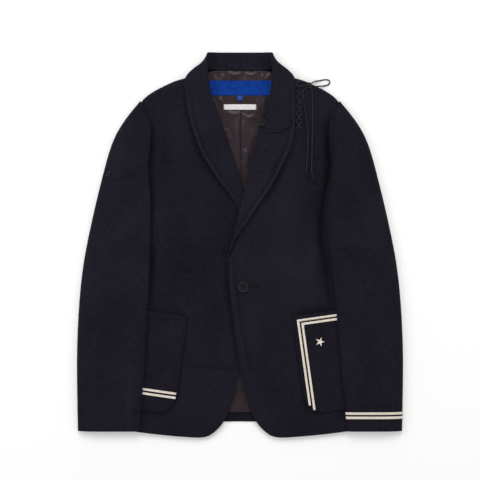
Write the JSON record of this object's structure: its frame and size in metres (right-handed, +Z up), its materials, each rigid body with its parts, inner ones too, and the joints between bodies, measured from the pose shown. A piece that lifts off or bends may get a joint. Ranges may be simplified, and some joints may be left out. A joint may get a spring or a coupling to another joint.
{
  "type": "blazer",
  "caption": "Lined one-button wool blazer with a shawl collar, patch pockets, tape trim and a laced shoulder, laid out flat with its front up.",
  "frame": {"origin": "on the table under the middle of the blazer's outline", "axes": "+Y towards the collar, +X towards the wearer's left sleeve, +Z up from the table through the front"},
  "size_m": [0.637, 0.7533, 0.0294],
  "materials": {
    "wool": "matt woven wool, navy near black",
    "lining": "plum satin",
    "tape": "cream ribbed tape",
    "label_blue": "blue woven label, bare",
    "label_white": "white woven label, bare",
    "button": "dark horn",
    "lace": "dark grey waxed cord"
  },
  "bodies": {
    "root": {"front_right": "wool", "front_left": "wool", "back_right": "wool", "back_left": "wool", "collar_right": "wool", "collar_left": "wool", "sleeve_right": "wool", "sleeve_left": "wool", "pocket_right": "wool", "pocket_left": "wool", "collar_tab": "wool", "lapel_patch": "wool", "lining_back": "lining", "tape_pocket_right_1": "tape", "tape_pocket_right_2": "tape", "tape_pocket_left_1": "tape", "tape_pocket_left_2": "tape", "tape_cuff_left_1": "tape", "tape_cuff_left_2": "tape", "star": "tape", "label_main": "label_blue", "label_size": "label_blue", "label_care": "label_white", "button_front": "button", "button_collar": "button", "lace_rungs": "lace", "lace_knot": "lace", "lace_loop_outer": "lace", "lace_loop_inner": "lace", "lace_end_1": "lace", "lace_end_2": "lace"}
  },
  "joints": []
}
